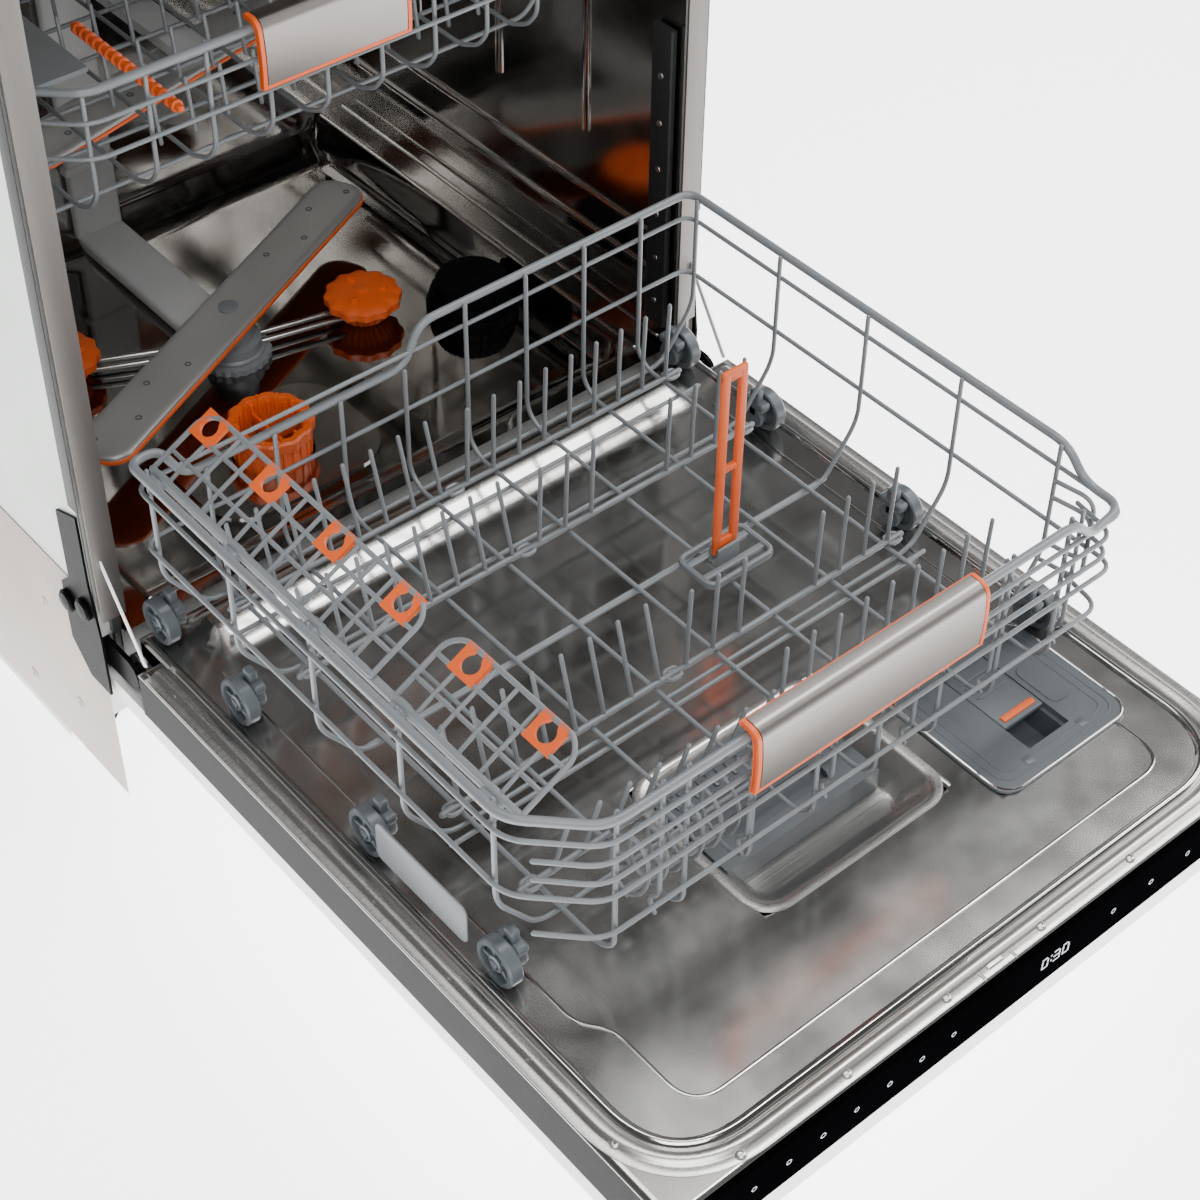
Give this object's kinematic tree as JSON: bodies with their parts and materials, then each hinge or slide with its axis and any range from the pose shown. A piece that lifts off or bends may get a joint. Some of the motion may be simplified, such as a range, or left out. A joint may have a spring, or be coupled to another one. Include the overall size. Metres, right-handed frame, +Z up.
{
  "type": "built-in dishwasher",
  "caption": "Full-size built-in dishwasher with its door open flat and its lower rack rolled out on the door, upper rack home.",
  "frame": {"origin": "bottom centre of the whole object's box as it stands open: the machine's centre plane, floor level, half-way between the open door's tip and the back sheet", "axes": "+X is the machine's right side seen from the front, +Y goes into the machine from the door, +Z is up"},
  "size_m": [0.598, 1.164, 0.82],
  "materials": {
    "stainless_steel": "satin",
    "mirror_steel": "polished",
    "rack_wire": "satin nylon coating",
    "orange_plastic": "matt",
    "grey_plastic": "matt",
    "dark_plastic": "matt",
    "light_plastic": "matt",
    "black_gloss": "gloss",
    "white_lacquer": "lacquered",
    "rubber": "matt",
    "felt": "matt",
    "cabinet_sheet": "satin",
    "cast_iron": "matt"
  },
  "bodies": {
    "cabinet": {"tub_wrapper": "mirror_steel", "tub_floor": "mirror_steel", "front_frame": "stainless_steel", "door_gasket": "rubber", "base_tray": "light_plastic", "kick_plate": "cabinet_sheet", "outer_panels": "cabinet_sheet", "insulation": "felt", "levelling_feet": "dark_plastic", "hinge_brackets": "dark_plastic", "circulation_pump": "dark_plastic", "sump_bowl": "dark_plastic", "softener_tank": "light_plastic", "supply_fittings": "light_plastic", "counterweight": "cast_iron", "feed_duct": "light_plastic", "filter_plate": "mirror_steel", "floor_jets": "orange_plastic", "lower_arm_hub": "grey_plastic"},
    "filter_cup": {"filter_cup": "orange_plastic"},
    "salt_cap": {"salt_cap": "dark_plastic"},
    "upper_roller_front": {"upper_roller_front": "grey_plastic"},
    "upper_roller_rear": {"upper_roller_rear": "grey_plastic"},
    "door": {"door_liner": "mirror_steel", "door_shell": "cabinet_sheet", "furniture_panel": "white_lacquer", "control_strip": "black_gloss", "door_screws": "stainless_steel", "dispenser_body": "grey_plastic", "door_pocket": "mirror_steel", "pocket_unit": "dark_plastic", "hinge_arms": "stainless_steel"},
    "dispenser_lid": {"dispenser_lid": "grey_plastic"},
    "lower_rack": {"lower_basket": "rack_wire", "wheel_carriers": "grey_plastic", "lower_handle": "stainless_steel", "lower_handle_grip": "orange_plastic", "shelf_rail": "grey_plastic", "post_base": "grey_plastic", "glass_loops": "rack_wire"},
    "wheels_1": {"wheels_1": "grey_plastic"},
    "wheels_2": {"wheels_2": "grey_plastic"},
    "wheels_3": {"wheels_3": "grey_plastic"},
    "wheels_4": {"wheels_4": "grey_plastic"},
    "cup_shelf_rear": {"cup_shelf_rear": "grey_plastic"},
    "cup_shelf_front": {"cup_shelf_front": "grey_plastic"},
    "tine_row_1": {"tine_row_1": "rack_wire"},
    "tine_row_2": {"tine_row_2": "rack_wire"},
    "tine_row_3": {"tine_row_3": "rack_wire"},
    "tine_row_4": {"tine_row_4": "rack_wire"},
    "stem_post": {"stem_post": "orange_plastic"},
    "upper_rack": {"upper_basket": "rack_wire", "upper_handle": "stainless_steel", "upper_handle_grip": "orange_plastic", "upper_shelf": "grey_plastic", "comb_rod": "orange_plastic", "upper_slides": "stainless_steel", "upper_arm_feed": "light_plastic"},
    "upper_arm": {"upper_arm": "stainless_steel"},
    "lower_arm": {"lower_arm": "grey_plastic"}
  },
  "joints": [
    {"name": "door_hinge", "type": "hinge", "parent": "cabinet", "child": "door", "pos_m": [0, 0.046, 0.185], "axis": [1, 0, 0], "range_deg": [0, 1]},
    {"name": "lower_rack_slide", "type": "slide", "parent": "cabinet", "child": "lower_rack", "axis": [0, -1, 0], "range_m": [-0.505, 0]},
    {"name": "upper_rack_slide", "type": "slide", "parent": "cabinet", "child": "upper_rack", "axis": [0, -1, 0], "range_m": [0, 0.33]},
    {"name": "lower_arm_spin", "type": "hinge", "parent": "cabinet", "child": "lower_arm", "pos_m": [-0.006, 0.338, 0.208], "axis": [0, 0, 1], "continuous": true},
    {"name": "upper_arm_spin", "type": "hinge", "parent": "upper_rack", "child": "upper_arm", "pos_m": [-0.006, 0.359, 0.455], "axis": [0, 0, 1], "continuous": true},
    {"name": "cup_shelf_rear_fold", "type": "hinge", "parent": "lower_rack", "child": "cup_shelf_rear", "pos_m": [-0.252, -0.095, 0.375], "axis": [0, -1, 0], "range_deg": [0, 60]},
    {"name": "cup_shelf_front_fold", "type": "hinge", "parent": "lower_rack", "child": "cup_shelf_front", "pos_m": [-0.252, -0.316, 0.375], "axis": [0, -1, 0], "range_deg": [0, 60]},
    {"name": "stem_post_fold", "type": "hinge", "parent": "lower_rack", "child": "stem_post", "pos_m": [0.098, -0.189, 0.257], "axis": [0, -1, 0], "range_deg": [0, 80]},
    {"name": "dispenser_lid_slide", "type": "slide", "parent": "door", "child": "dispenser_lid", "axis": [0, -1, 0], "range_m": [0, 0.023]},
    {"name": "filter_cup_turn", "type": "hinge", "parent": "cabinet", "child": "filter_cup", "pos_m": [-0.053, 0.208, 0.168], "axis": [0, 0, 1], "range_deg": [0, 60]},
    {"name": "salt_cap_turn", "type": "hinge", "parent": "cabinet", "child": "salt_cap", "pos_m": [0.2, 0.258, 0.168], "axis": [0, 0, 1], "continuous": true},
    {"name": "tine_row_1_fold", "type": "hinge", "parent": "lower_rack", "child": "tine_row_1", "pos_m": [0, 0.004, 0.2414], "axis": [1, 0, 0], "range_deg": [0, 80]},
    {"name": "tine_row_2_fold", "type": "hinge", "parent": "lower_rack", "child": "tine_row_2", "pos_m": [0, -0.086, 0.2414], "axis": [1, 0, 0], "range_deg": [0, 80]},
    {"name": "tine_row_3_fold", "type": "hinge", "parent": "lower_rack", "child": "tine_row_3", "pos_m": [0, -0.256, 0.2414], "axis": [1, 0, 0], "range_deg": [0, 80]},
    {"name": "tine_row_4_fold", "type": "hinge", "parent": "lower_rack", "child": "tine_row_4", "pos_m": [0, -0.341, 0.2414], "axis": [-1, 0, 0], "range_deg": [0, 80]},
    {"name": "wheels_1_roll", "type": "hinge", "parent": "lower_rack", "child": "wheels_1", "pos_m": [0, 0.042, 0.2241], "axis": [1, 0, 0], "range_deg": [-1533, 1533]},
    {"name": "wheels_2_roll", "type": "hinge", "parent": "lower_rack", "child": "wheels_2", "pos_m": [0, -0.064, 0.2241], "axis": [1, 0, 0], "range_deg": [-1533, 1533]},
    {"name": "wheels_3_roll", "type": "hinge", "parent": "lower_rack", "child": "wheels_3", "pos_m": [0, -0.223, 0.2241], "axis": [1, 0, 0], "range_deg": [-1533, 1533]},
    {"name": "wheels_4_roll", "type": "hinge", "parent": "lower_rack", "child": "wheels_4", "pos_m": [0, -0.367, 0.2241], "axis": [1, 0, 0], "range_deg": [-1533, 1533]},
    {"name": "upper_roller_front_roll", "type": "hinge", "parent": "cabinet", "child": "upper_roller_front", "pos_m": [0, 0.179, 0.53], "axis": [1, 0, 0], "range_deg": [-1901, 1901]},
    {"name": "upper_roller_rear_roll", "type": "hinge", "parent": "cabinet", "child": "upper_roller_rear", "pos_m": [0, 0.214, 0.53], "axis": [1, 0, 0], "range_deg": [-1901, 1901]}
  ],
  "couplings": [
    {"joint": "tine_row_2_fold", "follows": "tine_row_1_fold", "ratio": 1},
    {"joint": "tine_row_4_fold", "follows": "tine_row_3_fold", "ratio": 1},
    {"joint": "wheels_1_roll", "follows": "lower_rack_slide", "rad_per_m": 52.632},
    {"joint": "wheels_2_roll", "follows": "lower_rack_slide", "rad_per_m": 52.632},
    {"joint": "wheels_3_roll", "follows": "lower_rack_slide", "rad_per_m": 52.632},
    {"joint": "wheels_4_roll", "follows": "lower_rack_slide", "rad_per_m": 52.632},
    {"joint": "upper_roller_front_roll", "follows": "upper_rack_slide", "rad_per_m": 100},
    {"joint": "upper_roller_rear_roll", "follows": "upper_rack_slide", "rad_per_m": 100}
  ]
}
